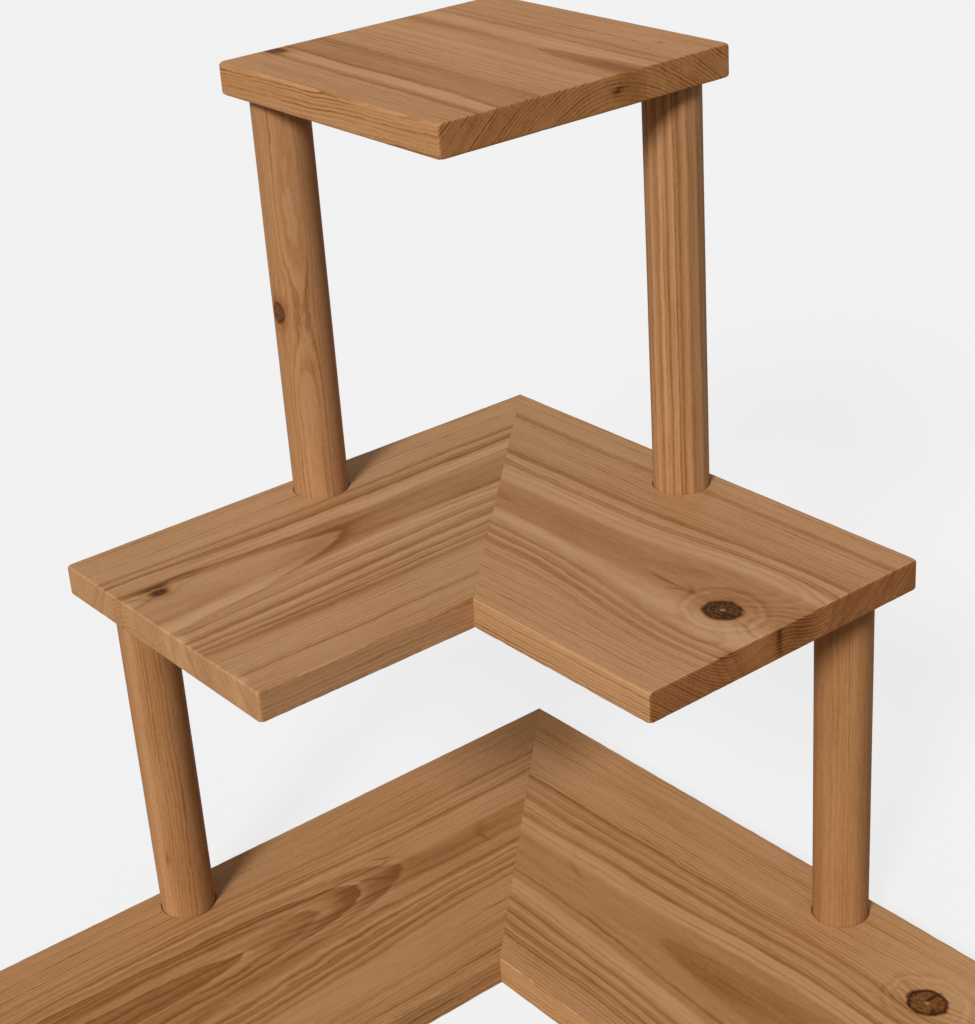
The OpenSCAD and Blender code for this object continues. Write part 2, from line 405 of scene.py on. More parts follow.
FIGURES = {
    "top_board": Figure(
        # Its ends are drawn to red as painted warm shade
        heart=77, seed=3.1, arch=55, into=1.0, drift=0.024, spacing=2.2, end=(0.12, 0.46), end_warm_shade=0.6,
        side=0.9,
        stains=(((190, 79, 9), (6, 2.6, 2.2), 0.36), ((190, 76, 7.5), (5, 5, 1.4), 0.22)),
        tones=((0, 0), (30, 0), (35, 0.05), (37, 0.65), (39, 0.1), (41.5, 0.05), (43.5, 0.55), (46, -0.1),
               (50, -0.3), (56, -0.25), (60, 0.15), (66, 0.3), (72, 0.1), (77, -0.1), (80, 0.15), (83, -0.1),
               (118, 0), (122, 0.2), (125, 0.65), (129, 0.35), (144, 0.3), (147, 0.7), (149.5, -0.25),
               (156, -0.3), (158, 0.1), (161, 0.75), (163.5, -0.1), (170, 0), (190, 0)),
        flames=((114, 67, 29, 33, 360, 0.0, 0.55, 200, 0.8),),
        patches=((190, 67, 36, 6, 0.02, 0.55), (50, 137, 35, 9, 0.03, 0.25), (160, 21, 3.5, 1.6, 0, 0.9),
                 (20, 64, 45, 4, 0, 0.2)),
        quiet=((150, 66, 60, 10, 0.7), (20, 55, 60, 9, 0.6), (90, 137, 90, 9, 0.6)),
        knots=((6, 156, 6.5, 4.8, 0.86, 0.45),),
    ),
    "mid_left_board": Figure(
        heart=76, seed=11.7, grey=0.05, shade=-0.09, contrast=1.2, arch=30, drift=0.008, spacing=2.5,
        end=(0.06, -0.10),
        tones=((0, 0), (33, 0.0), (36, 0.7), (38.5, -0.1), (42, 0.0), (45.5, 0.7), (48, -0.15), (52, -0.3),
               (58, -0.2), (62, 0.25), (68, 0.45), (84, 0.5), (88, 0.55), (90.5, -0.25), (99, -0.2),
               (105, 0.45), (107, -0.2), (112, 0.05), (117, 0.85), (119.5, -0.2), (122.5, 0.0), (126, 0.7),
               (128.5, -0.1), (132, 0.45), (134.5, -0.1), (138, 0.4), (141, 0), (165, 0), (168, 0.45),
               (171, 0), (190, 0.2)),
        flames=((193, 75, 30, 66, 230, 0.40, -0.62, 230, 1.8), (268, 86, 9, 18, 60, 0.1, 0.32, 60, 2.0)),
        patches=((150, 66, 50, 5, 0, 0.3), (190, 60, 14, 2, 0, 0.4), (105, 85, 30, 5, 0, 0.25),
                 (36, 19, 8, 1.2, 0, 0.4), (214, 81, 30, 9, 0.2, 0.45), (283, 57, 26, 1.5, 0.05, 0.6),
                 (316, 71, 14, 1.8, 0.3, 0.6), (290, 62, 14, 1.3, 0.12, 0.5),
                 (318, 63, 9, 1.2, -0.1, 0.5), (322, 118, 2.5, 5, 0.0, -0.8), (322, 172, 2.5, 5, 0.0, -0.9)),
        quiet=((260, 78, 75, 14, 0.35), (130, 76, 60, 12, 0.4)),
        swells=((345, 84, 105, 30, 0.65), (304, 64, 22, 15, 0.6)),
        knots=((303, 65.5, 5.5, 3.9, 0.92, 0.5),),
    ),
    "mid_right_board": Figure(
        heart=105, seed=23.9, grey=0.04, shade=-0.085, contrast=1.15, arch=50, into=-1.1, drift=-0.02,
        # Its ends are drawn to red as painted warm shade
        spacing=2.3, end=(0.33, 0.40), end_warm_shade=1.0,
        stems=((323, 101, 22, 27, 13),),
        stains=(((323, 102, 8), (6, 2.4, 10), 0.26), ((323, 104, 2), (5, 5, 3), 0.14),
                ((323, 88, 5), (4, 6, 7), 0.12), ((323, 140, 0), (2.5, 7, 1.5), 0.2),
                ((294, 110.5, 0), (5.0, 0.6, 3), 0.4)),
        tones=((0, 0), (21, 0.05), (24.5, 0.65), (28, 0.05), (50, 0.1), (53, 0.3), (57, 0.2), (61.5, 0.85),
               (64.5, 0.0), (67, -0.15), (70.5, 0.1), (73, 0.55), (76, -0.05), (79, -0.3), (89, -0.2),
               (94, 0.35), (101, 0.45), (115, 0.45), (119, -0.3), (127, -0.15), (130.5, 0.6), (133, -0.05),
               (135.5, 0.1), (138, 0.6), (140.5, -0.1), (142, 0.1), (145.5, 0.7), (148.5, 0.0), (153, 0.05),
               (156, 0.35), (158.5, 0), (190, 0)),
        patches=((170, 100, 70, 9, 0.03, 0.25), (246, 107, 13, 0.8, 0.02, 0.8), (262, 104, 4, 2, 0.5, 0.5),
                 (256, 110, 5, 1, -0.4, 0.6), (308, 113, 7, 1.2, 0.25, 0.6), (300, 112, 22, 16, 0, -0.4)),
        quiet=((290, 109, 34, 22, 0.5), (190, 102, 80, 11, 0.6)),
        swells=((292, 110, 62, 38, 0.85),),
        knots=((290, 109, 11.5, 10.0, 0.90, 0.16),),
    ),
    "base_left_board": Figure(
        heart=82, seed=37.3, contrast=1.1, arch=14, drift=0.01, spacing=2.6, waver=1.25,
        tones=((0, 0), (34, 0.0), (38, 0.4), (40, -0.1), (43.5, 0.35), (45.5, -0.1), (48, 0.1), (50.5, 0.2),
               (53.5, 0.95), (56, -0.1), (59, 0.2), (62, 0.1), (72, 0.2), (82, 0.35), (102, 0.30),
               (106.5, 0.95), (109, -0.15), (112, 0.75), (114.5, -0.1), (117.5, 0.8), (119.5, -0.15),
               (123, 0.9), (125.5, -0.2), (129, 0.6), (131.5, -0.1), (158, -0.05), (162, 0.3), (164.5, 0),
               (176, 0.05), (178.5, 0.4), (181, 0), (190, 0.05)),
        flames=((178, 78, 33, 44, 66, -0.1, 0.55, 22, 1.2), (207, 79, 27, 35, 58, -0.25, 0.80, 22, 0.6),
                (240, 81, 21, 26, 45, -0.30, 0.30, 13, 1.5), (296, 86, 13, 13, 36, -0.40, 0.55, 28, 0.8),
                (322, 87, 8, 8, 34, 0.0, 0.15, 60, 1.4)),
        patches=((150, 90, 60, 10, 0.0, 0.30), (122, 90, 1.6, 4, 0, 0.5), (232, 80, 8, 12, 0, -0.3),
                 (198, 79, 9, 1.0, -0.6, 0.9), (190, 84, 5, 0.8, -0.8, 0.7), (181, 66, 6, 1.0, -0.6, 0.9),
                 (183, 70, 4, 0.8, 0.5, 0.6), (158, 150, 12, 1.0, 0, 0.6), (118, 82, 5, 3, 0.3, 0.35),
                 # The patch at (25, 25) darkens the back corner under the mid shelf: painted shade
                 (130, 66, 40, 5, 0, -0.3), (25, 25, 30, 26, 0, 0.4)),
        quiet=((150, 80, 60, 18, 0.6), (230, 148, 60, 13, 0.7)),
        swells=((375, 104, 150, 46, 0.75),),
    ),
    "base_right_board": Figure(
        heart=112, seed=51.9, shade=-0.10, arch=24, drift=0.0, spacing=2.7,
        tones=((0, 0), (15, 0.05), (18, 0.35), (21, 0.0), (35, 0.15), (37, 0.0), (56, 0.15), (59.5, 0.9),
               (62.5, 0.05), (66.5, 0.45), (69, -0.05), (71, 0.1), (75, 0.85), (78, -0.05), (83, 0.0),
               (88, 0.95), (90.5, -0.2), (99, -0.25), (103, 0.4), (110, 0.35), (123, 0.35), (128, 0.6),
               (133, 0.3), (135, -0.25), (143, -0.2), (148, 0.9), (150.5, -0.15), (152, 0.05), (156, 0.8),
               (158.5, -0.15), (160, 0.05), (163.5, 0.9), (166, -0.1), (171, 0.6), (173.5, 0), (190, 0.05)),
        flames=((238, 112, 44, 48, 390, 0.1, 0.42, 200, 1.4),),
        patches=((360, 43, 6, 0.6, 0.2, 0.8), (362, 49, 5, 0.5, -0.25, 0.7), (397, 55, 8, 0.7, 0.3, 0.5),
                 # The patch at (34, 14) darkens the back corner under the mid shelf: painted shade
                 (34, 14, 32, 17, 0, 0.5), (156, 104, 10, 1.6, 0.35, 0.6), (290, 118, 50, 10, 0.1, 0.2),
                 (390, 40, 45, 32, 0, -0.5), (150, 25, 80, 8, 0, 0.15)),
        quiet=((200, 112, 90, 11, 0.7),),
        swells=((378, 47, 34, 24, 0.5), (365, 114, 150, 42, 0.7)),
        stains=(((376.8, 44, 0), (0.6, 2.4, 4), 0.6), ((377.4, 40.5, 0), (0.35, 3.0, 4), 0.5),
                ((385, 50, 0), (1.6, 2.4, 4), 0.22)),
        knots=((378, 47, 12.0, 10.5, 0.80, 0.10),),
    ),
    "upper_left_post": Figure(
        heart=0, seed=61.3, grey=0.06, shade=-0.03, into=0.8, spacing=1.7, contrast=0.95, waver=0.45,
        end=(0.1, 0.1),
        tones=((0, 0), (82, 0.3), (86, 0.1), (89, -0.15), (93, 0.2), (96, -0.05), (99, 0.25), (104, 0.35),
               (190, 0.1)),
        patches=((112, 98, 28, 2.2, 0.04, 0.35), (124, 93, 12, 1.6, 0.1, 0.4)),
        swells=((118, 95, 30, 12, 0.85),),
        knots=((118, 95, 6.5, 5.0, 0.85, 0.25),),
    ),
    "upper_right_post": Figure(
        heart=0, seed=67.9, grey=0.06, shade=0.08, into=0.15, spacing=2.4, contrast=1.1, waver=0.35,
        end=(0.1, 0.1),
        tones=((0, 0), (81, 0.1), (84, -0.35), (86.5, 0.5), (89, -0.35), (92.5, 0.6), (94.5, -0.35),
               (97, 0.2), (99.5, 0.6), (101.5, -0.35), (104.5, 0.45), (107, -0.2), (190, 0.1)),
    ),
    "lower_left_post": Figure(
        heart=0, seed=73.1, grey=0.04, into=0.5, spacing=1.6, contrast=0.9, waver=0.5, end=(0.1, 0.1),
        tones=((0, 0.2), (82, 0.4), (90, 0.35), (97, -0.05), (103, 0.5), (190, 0.45)),
        patches=((48, 93, 5, 1.2, 0, 0.8),),
    ),
    "lower_right_post": Figure(
        heart=0, seed=79.7, grey=0.04, shade=0.10, into=-0.5, spacing=1.8, contrast=0.8, waver=0.4,
        end=(0.1, 0.1),
        tones=((0, 0.2), (82, 0.3), (88, 0.1), (95, 0.35), (101, 0.5), (106, 0.25), (190, 0.2)),
    ),
}
# Width in mm over which a figure's tones are given
FIGURE_WIDTH = 190.0


@dataclass
class Texture:
    """Noise over the wood: its cells in mm along, across and into the piece, and where its seed starts."""

    cell: tuple
    start: float
    detail: float = 2.0
    rough: float = 0.5


TEXTURES = {
    "wave": Texture((130.0, 60.0, 60.0), 0.0, detail=1.0),  # slow bends of the whole grain
    "ripple": Texture((34.0, 13.0, 13.0), 3.0),
    "wiggle": Texture((9.0, 4.0, 4.0), 5.0),
    "fray": Texture((5.0, 0.9, 0.9), 9.0),  # uneven edges of single lines
    "uneven": Texture((13.0, 9.0, 9.0), 1.0),  # wide and narrow years
    "calm": Texture((70.0, 14.0, 14.0), 4.0),  # places where the lines are faint
    "broken": Texture((26.0, 2.2, 2.2), 10.0, detail=3.0),  # gaps in single lines
    "fade": Texture((90.0, 20.0, 20.0), 6.0),  # how strong the bands of tone are
    "feather": Texture((30.0, 0.8, 0.8), 7.0),  # fine points along a flame's edge
    "lobe": Texture((24.0, 8.0, 8.0), 8.0),  # broad waves along a flame's edge
    "cloud": Texture((60.0, 12.0, 12.0), 12.0, detail=3.0),
    "streak": Texture((90.0, 2.6, 2.6), 13.0),
    "fibre": Texture((13.0, 0.6, 0.6), 15.0, detail=3.0, rough=0.6),
    "fleck": Texture((3.0, 1.3, 1.3), 17.0),
    "pore": Texture((3.2, 0.35, 0.35), 18.0, detail=1.0),
    "speckle": Texture((0.7, 0.55, 0.55), 21.0),  # cut fibres on the ends
    "knot_edge": Texture((6.0, 5.0, 9.0), 2.0, detail=3.0),
    "knot_ring": Texture((6.0, 6.0, 20.0), 0.0),
    "knot_check": Texture((1.0, 1.0, 1.0), 5.0),
    "knot_mottle": Texture((1.5, 1.1, 3.0), 8.0, detail=3.0),
    "knot_oval": Texture((14.0, 9.0, 9.0), 6.0),
}
# How far these bend the grain, in mm
BENDS = {"wave": 3.0, "ripple": 1.5, "wiggle": 0.8}
# How much these darken the wood
DARKENING = {"cloud": 0.10, "streak": 0.11, "fibre": 0.17, "fleck": 0.10, "pore": 0.07}
# Seeds of a piece's knots start this far from its own
KNOT_SEED = 30.0
# A knot whose rim is softer than this has no pale pith and no ovals in the wood round it
SOFT_KNOT = 0.2
# Power that sets how blunt a flame's tip is
FLAME_TIP = 1.5
# Darkness of plain wood, and the share of the broad tones that shows on a face and on an end
PLAIN_TONE = 0.27
FACE_SHARE = 0.40
END_SHARE = 0.14
# Where the oiled wood's five colours lie, from pale to dark
PALETTE_PLACES = (0.0, 0.30, 0.52, 0.78, 1.0)
# What an end's colour is multiplied by where it is reddened as painted warm shade
WARM_SHADE_TINT = (1.0, 0.90, 0.82)


def texture(kind, place, seed):
    """The noise that a name in TEXTURES stands for."""
    chosen = TEXTURES[kind]
    return noise(place, chosen.cell, seed + chosen.start, chosen.detail, chosen.rough)


def parted(along, across, swells):
    """Across, as it was before the lines parted round each swell: drawn to its middle by a hill."""
    for mid_along, mid_across, reach_along, reach_across, push in swells:
        off = across - mid_across
        here = hill(along - mid_along, reach_along, off, reach_across)
        across = across - off * here * push
    return across


def knot_fields(place, knot, seed):
    """Where a knot is, how dark it is there, the halo and faint ovals round it, and its checks.

    The distance from its middle, in radii, wavers a little. Rings are fractions of that distance, and checks
    are noise that depends on the direction from the middle alone."""
    along, across, into = place
    mid_along, mid_across, reach_along, reach_across, middle, soft = knot
    off_along = (along - mid_along) / reach_along
    off_across = (across - mid_across) / reach_across
    plain = (off_along.squared() + off_across.squared()).root()
    far = plain + texture("knot_edge", place, seed) * 0.18
    inside = far.step(1.0 + soft, 1.0 - soft)
    ring = (far.scaled(3.3, 0.0) + texture("knot_ring", place, seed) * 0.6).part()
    spoke = [off_along / plain.most(0.05) * 1.7, off_across / plain.most(0.05) * 1.7, into * 0.02]
    check = texture("knot_check", spoke, seed).step(0.24, 0.34) * far.step(0.05, 0.2)
    rim = peak(far - 0.9, 0.14)
    mottle = texture("knot_mottle", place, seed)
    tone = rim * (0.96 - middle) + ring * 0.09 + check * 0.55 + mottle * 0.26 + middle
    halo = peak(far - 1.1, 0.5 + soft)
    if soft < SOFT_KNOT:
        tone = tone - peak(plain, 0.12) * (middle - 0.35)
        oval = plain + texture("knot_oval", place, seed) * 0.35
        halo = halo + peak(oval - 1.65, 0.12) + peak(oval - 2.1, 0.16) * 1.6
        halo = halo - peak(oval - 1.9, 0.25) * 0.8
    return inside, tone.least(1.0), halo, check * inside


def ring_coordinate(across, into, figure):
    """Which of the log's rings a point is in, in mm from its heart, and where that ring meets the face.

    On the face the ring is the root of x squared plus arch squared, with x the distance from the heart line.
    Into the piece it falls at a steady rate."""
    off = across - figure.heart
    turn = (off.squared() + figure.arch**2).root()
    return turn - into * figure.into, across - into * figure.into * (off / turn)


def broad_tone(across, tones):
    """Straight lines between (across, tone) pairs.

    There are more pairs than one ramp takes, so two ramps that each hold the shared middle tone outside their
    half are added, less that tone."""
    stops = [(mm / FIGURE_WIDTH, 0.5 + tone / 2) for mm, tone in tones]
    half = len(stops) // 2
    place = across / FIGURE_WIDTH
    return (ramp(place, stops[:half + 1]) + ramp(place, stops[half:])).scaled(2.0, -2.0 - tones[half][1])


def flame_tone(along, across, flame):
    """A long flame whose tip points to the room's corner.

    With s the distance from its middle line in half widths, to the power of FLAME_TIP, its edge is at
    tip + length s / (1 - s), so it runs on level with the grain. The distance to that edge is divided by
    its steepness there. Outside it a soft tone grows to the edge, inside another starts sharp and fades."""
    tip, middle, low, high, length, outer, inner, reach, soft = flame
    off = across - middle
    width = off.step(-0.5, 0.5).scaled(high - low, low)
    share = off.magnitude() / width
    power = share.math("POWER", FLAME_TIP).least(0.97)
    rest = power.scaled(-1.0, 1.0)
    steep = share.least(1.0).root() * (FLAME_TIP * length) / width / rest.squared()
    edge = (along - tip - power / rest * length) / (steep.squared() + 1.0).root()
    edge = edge.least((1.0 - share) * width)
    outside = edge.step(-6.0 - soft, -0.5 * soft) * edge.step(soft, -soft) * outer
    inside = edge.step(-soft, soft) * edge.step(reach, 0.0) * inner
    return outside + inside


def ring_lines(place, figure, bent, fray):
    """The dark line of each ring, from 0 to 1, and where the ring meets the face, in mm across.

    The rings part round each knot and each branch inside. Some years are strong and some faint by chance, and
    the lines are broken here and there, and fainter in the figure's quiet places."""
    along, across, into = place
    seed = figure.seed
    ring, face_across = ring_coordinate(bent, into, figure)
    branches = [(*knot[:2], knot[2] * 1.9, knot[3] * 2.0, knot[3] * 0.55) for knot in figure.knots]
    for mid_along, mid_across, reach_along, reach_across, push in (*branches, *figure.stems):
        ring = ring + hill(along - mid_along, reach_along, across - mid_across, reach_across) * push
    ring = ring + fray

    uneven = texture("uneven", [ring, along * 0.02, into * 0.0], seed)
    years = ring / figure.spacing + uneven * 1.2
    strength = random_of(years.whole() + round(seed)).squared().scaled(0.7, 0.3)
    share = years.part()
    calm = texture("calm", place, seed).scaled(0.9, 0.75).clamped()
    for mid_along, mid_across, half_along, half_across, lost in figure.quiet:
        calm = calm * hill(along - mid_along, half_along, across - mid_across, half_across).scaled(-lost, 1.0)
    broken = texture("broken", place, seed).scaled(1.1, 0.95).clamped()
    return share.step(0.22, 0.82) * share.step(1.0, 0.84) * strength * calm * broken, face_across


def face_tones(place, figure, level, face_across):
    """The figure's bands, flames and patches added up. Bands follow the rings, the rest lies level."""
    along = place[0]
    fade = texture("fade", place, figure.seed).scaled(0.4, 1.05)
    tone = broad_tone(face_across, figure.tones) * fade
    ragged = texture("feather", place, figure.seed) * 5.0 + texture("lobe", place, figure.seed) * 7.0
    for flame in figure.flames:
        tone = tone + flame_tone(along + ragged, level, flame)
    for mid_along, mid_across, half_along, half_across, lean, shift in figure.patches:
        off_along = along - mid_along
        off_across = level - mid_across - off_along * lean
        tone = tone + hill(off_along, half_along, off_across, half_across) * shift
    return tone


def stain_tones(places, stains):
    """Soft dark balls: e to the power of minus the squared distance in reaches, times each one's darkness."""
    total = 0.0
    for middle, reach, shift in stains:
        squares = [((at - mid) / far).squared() for at, mid, far in zip(places, middle, reach)]
        total = (-(squares[0] + squares[1] + squares[2])).math("EXPONENT") * shift + total
    return total


def softwood(name, figure, look, axes, end_shares, side_shares=None):
    """Solid softwood: growth rings with a soft dark line each, broad tones, knots, fibres, pores and some
    painted shade.
    """
    material, tree, shader = new_material(name)
    place = coordinates(tree, axes)
    along, across, into = place
    seed = figure.seed

    bends = [texture(kind, place, seed) * (reach * figure.waver) for kind, reach in BENDS.items()]
    wave, ripple, wiggle = bends
    fray = texture("fray", place, seed) * 0.25
    bent = parted(along, across, figure.swells) + wave + ripple + wiggle - along * figure.drift
    line, face_across = ring_lines(place, figure, bent, fray)
    level = across + wave * 0.4 + ripple + wiggle
    tone = face_tones(place, figure, level, face_across + fray)
    stain = stain_tones((along, across + ripple, into), figure.stains)

    end = facing(tree, end_shares).step(0.5, 0.9)
    side = facing(tree, side_shares).step(0.5, 0.9) if side_shares else 0.0
    grain = {kind: texture(kind, place, seed) for kind in DARKENING}
    grain["pore"] = grain["pore"].step(0.42, 0.62)
    fibre, pore = grain["fibre"], grain["pore"]
    speckle = texture("speckle", place, seed)
    darker, lines = figure.end
    depth = line * (side * figure.side + 1.0) * (look.contrast * figure.contrast)
    depth = depth + tone * end.scaled(END_SHARE - FACE_SHARE, FACE_SHARE) * figure.contrast
    for kind, share in DARKENING.items():
        depth = depth + grain[kind] * share
    depth = depth + (PLAIN_TONE + figure.shade) + end * (speckle * 0.16 + darker + line * lines)
    depth = depth.math("SMOOTH_MIN", 0.80, 0.15)

    relief = line * (look.relief / MM) + fibre * 0.015 - pore * 0.03 + end * speckle * 0.03
    for index, knot in enumerate(figure.knots):
        inside, knot_tone, halo, check = knot_fields(place, knot, seed + KNOT_SEED + index)
        depth = depth + halo * (0.08 + knot[-1] * 0.25)
        depth = depth + inside * (knot_tone - depth)
        relief = relief - check * 0.25
    depth = (depth + stain).least(1.0)

    colours = np.array([look.pale, look.early, look.middle, look.late, look.dark])
    colours += (colours.mean(1, keepdims=True) - colours) * figure.grey
    colour = ramp(depth, list(zip(PALETTE_PLACES, colours)))
    # Ends are drawn to red by the figure's share: painted warm shade on ends on the shaded side
    feed(tree, tinted(colour, end * figure.end_warm_shade, WARM_SHADE_TINT), shader.inputs["Base Color"])
    feed(tree, (depth * 0.12 + fibre * 0.05 + end * 0.12 + look.sheen).clamped(), shader.inputs["Roughness"])
    shader.inputs["Specular IOR Level"].default_value = 0.07
    raise_surface(tree, shader, relief)
    return material


def zinc_steel():
    """Bright zinc on steel, with faint lines from the tool and a cloudy roughness."""
    material, tree, shader = new_material("zinc_steel")
    place = coordinates(tree, ((1, 0, 0, 0), (0, 1, 0, 0), (0, 0, 1, 0)))
    cloud = noise(place, (2.0, 2.0, 2.0), 4.0, detail=3.0)
    lines = noise(place, (6.0, 6.0, 0.25), 9.0)
    zinc = ((0.2, (0.50, 0.52, 0.55)), (0.8, (0.68, 0.68, 0.66)))
    feed(tree, ramp(cloud.scaled(0.5, 0.5), zinc), shader.inputs["Base Color"])
    feed(tree, cloud * 0.10 + lines * 0.08 + 0.36, shader.inputs["Roughness"])
    shader.inputs["Metallic"].default_value = 1.0
    raise_surface(tree, shader, lines * 0.01)
    return material


# Spacing in mm of the grid that the press leaves on a biscuit
PRESS_PITCH = 1.6


def pressed_beech():
    """Pressed beech: short flecks that run across the biscuit, and the press's fine diamond grid."""
    material, tree, shader = new_material("pressed_beech")
    half = np.sqrt(0.5)
    place = coordinates(tree, ((half, half, 0, 0), (half, -half, 0, 0), (0, 0, 1, 0)))
    along, across, into = place
    fleck = noise([along * 0.7 + across, along - across * 0.7, into], (3.5, 0.6, 0.8), 2.0, detail=3.0)
    cloud = noise(place, (14.0, 9.0, 4.0), 6.0)
    grid = [(lean / PRESS_PITCH).part().scaled(2.0, -1.0).magnitude().step(0.75, 0.95)
            for lean in (along + across, along - across)]
    press = grid[0].most(grid[1])
    depth = fleck * 0.25 + cloud * 0.15 + press * 0.12 + 0.4
    beech = ((0.1, linear(224, 196, 152)), (0.5, linear(206, 172, 126)), (0.9, linear(168, 130, 86)))
    feed(tree, ramp(depth, beech), shader.inputs["Base Color"])
    feed(tree, (fleck * 0.06 + 0.68).clamped(), shader.inputs["Roughness"])
    shader.inputs["Specular IOR Level"].default_value = 0.25
    raise_surface(tree, shader, fleck * 0.02 - press * 0.06)
    return material


# Surfaces


# Points nearer to each other than this become one
WELD = 0.0001 * MM
# Faces that meet at more than this angle, in degrees, meet in a crease
CREASE = 35
# Sides of a post or a socket, and of a screw
ROUND_SIDES = 96
SCREW_SIDES = 48


def grid_faces(rows, columns):
    """Quads of a grid whose columns close on themselves, as rows of four point numbers."""
    row = np.arange(rows - 1)[:, None] * columns
    column = np.arange(columns)[None, :]
    after = (column + 1) % columns
    corners = [row + column, row + after, row + columns + after, row + columns + column]
    return np.stack(corners, -1).reshape(-1, 4)


def smoothed(mesh):
    """Shades a mesh smooth between its creases."""
    mesh.shade_smooth()
    mesh.set_sharp_from_angle(angle=np.radians(CREASE))


def mesh_object(name, shells):
    """One object from closed shells, each an array of rows, columns and x y z, with its ends drawn shut."""
    work = bmesh.new()
    for points in shells:
        rows, columns, _ = points.shape
        shell = bpy.data.meshes.new(name)
        shell.from_pydata(points.reshape(-1, 3).tolist(), [], grid_faces(rows, columns).tolist())
        work.from_mesh(shell)
        bpy.data.meshes.remove(shell)
    bmesh.ops.remove_doubles(work, verts=work.verts, dist=WELD)
    bmesh.ops.recalc_face_normals(work, faces=work.faces)
    mesh = bpy.data.meshes.new(name)
    work.to_mesh(mesh)
    work.free()
    smoothed(mesh)
    made = bpy.data.objects.new(name, mesh)
    bpy.context.scene.collection.objects.link(made)
    return made


def turned(profile, x, y):
    """A profile of (radius, height) points carried round an upright axis at x, y.

    Each point lies off the axis by the radius times the cosine and the sine of the turn. The profile starts
    and ends on the axis, so the shell is closed."""
    profile = np.array(profile)
    angle = np.linspace(0, 2 * np.pi, ROUND_SIDES, endpoint=False)
    radius = profile[:, :1]
    height = np.broadcast_to(profile[:, 1:], (len(profile), ROUND_SIDES))
    return np.stack([x + radius * np.cos(angle), y + radius * np.sin(angle), height], -1)


def cut_away(made, cutter):
    """Cuts one object out of another and keeps the result as its mesh."""
    cut = made.modifiers.new("cut", "BOOLEAN")
    cut.operation = "DIFFERENCE"
    cut.solver = "EXACT"
    cut.object = cutter
    bpy.context.view_layer.update()
    whole = made.evaluated_get(bpy.context.evaluated_depsgraph_get())
    mesh = bpy.data.meshes.new_from_object(whole)
    made.modifiers.clear()
    made.data = mesh
    bpy.data.objects.remove(cutter)
    smoothed(mesh)


def inset(distance, radius):
    """How far a rounded edge stands back from its face, at a distance in from the other face.

    The edge is a quarter circle."""
    short = np.clip(radius - distance, 0, radius)
    return radius - np.sqrt(radius**2 - short**2)


def eased_steps(radius, count):
    """Distances in from a face that step evenly round a quarter circle, from 0 to the radius."""
    return radius * (1 - np.cos(np.linspace(0, np.pi / 2, count + 1)))


def even_steps(start, end, cell):
    """Places from start to end, both left out, about a cell apart."""
    count = max(int(round((end - start) / cell)), 2)
    return np.linspace(start, end, count + 1)[1:-1]


@dataclass
class Plank:
    """Where a board lies: which way it runs, whether its inner end is mitred, and its box in the frame."""

    node: str
    runs: str
    mitred: bool

    def box(self):
        return span(self.node)

    def arm(self):
        return (ROOM_CORNER - self.box()[0])[0 if self.runs == "x" else 1]

    def place(self, along, across, into):
        """Frame coordinates of points along the board, across it from the wall side and up from below."""
        x, y = (along, across) if self.runs == "x" else (across, along)
        return np.stack([ROOM_CORNER[0] - x, ROOM_CORNER[1] - y, self.box()[0][2] + into], -1)

    def axes(self):
        """The same as sums of frame coordinates in metres: along, across and down from the top face."""
        from_right = (-1, 0, 0, ROOM_CORNER[0])
        from_left = (0, -1, 0, ROOM_CORNER[1])
        down = (0, 0, -1, self.box()[1][2])
        return (from_right, from_left, down) if self.runs == "x" else (from_left, from_right, down)

    def end_shares(self):
        return (1, 0, 0) if self.runs == "x" else (0, 1, 0)

    def side_shares(self):
        return (0, 1, 0) if self.runs == "x" else (1, 0, 0)


PLANKS = (
    Plank("top_board", "y", False),
    Plank("mid_left_board", "x", True),
    Plank("mid_right_board", "y", True),
    Plank("base_left_board", "x", True),
    Plank("base_right_board", "y", True),
)


# Lengths in metres of the slow waves along a worn edge
WEAR_WAVES = (0.11, 0.047, 0.021, 0.009)
# Short chips in each edge, the length of edge they fall on and the limits of their half lengths
CHIPS = 7
CHIP_SPAN = 0.46
CHIP_REACH = (1.2 * MM, 4.0 * MM)
# A board's seed times this is its first edge's seed, and its ends come after its four edges
SEEDS_EACH = 10
END_SEED = 7
# Waves and chips come this much closer together across an end than along an edge
END_WEAR_PITCH = 2.2
# The end radius grows by this share where a dent in the end is at its full depth
END_WEAR = 0.5
# A dent is cut deeper than its depth by this factor, because it fades away from the edge's own line
BITE = 2
# Spacing of the mesh where the corners' tips are rounded
TIP_CELL = 0.8 * MM
# Steps over a board's thickness, round an edge, round an upright corner and over a mitre's eased lip
SIDE_STEPS = 8
EDGE_STEPS = 6
CORNER_STEPS = 8
LIP_STEPS = 3
# Rows of faces that shut an end
CAP_ROWS = 4


def dents(places, seed, depth):
    """How deep an edge is worn at each place along it: slow waves of random length, and a few short chips."""
    chance = np.random.default_rng(seed)
    wave = np.zeros_like(places)
    for length in WEAR_WAVES:
        length *= chance.uniform(0.8, 1.2)
        wave += np.sin(places / length * 2 * np.pi + chance.uniform(0, 6.3)) / len(WEAR_WAVES)
    worn = depth * (0.25 + 0.25 * wave)
    middles = chance.uniform(0, CHIP_SPAN, CHIPS)
    reaches = chance.uniform(*CHIP_REACH, CHIPS)
    shares = chance.uniform(0.3, 1, CHIPS)
    for middle, reach, share in zip(middles, reaches, shares):
        worn = worn + depth * share * np.exp(-(((places - middle) / reach) ** 2))
    return np.clip(worn, 0, None)


def end_cap(across, into, plane):
    """Rows of points that shut an end.

    Each point of its outline goes straight to the nearest point of a line halfway down the thickness. Plane
    gives the distance along at each distance across."""
    share = np.linspace(1 / CAP_ROWS, 1, CAP_ROWS)[:, None]
    middle = (into.min() + into.max()) / 2
    draw = into.max() - middle
    line = np.clip(across, across.min() + draw, across.max() - draw)
    drawn = across + (line - across) * share
    level = into + (middle - into) * share
    return plane(drawn), drawn, level


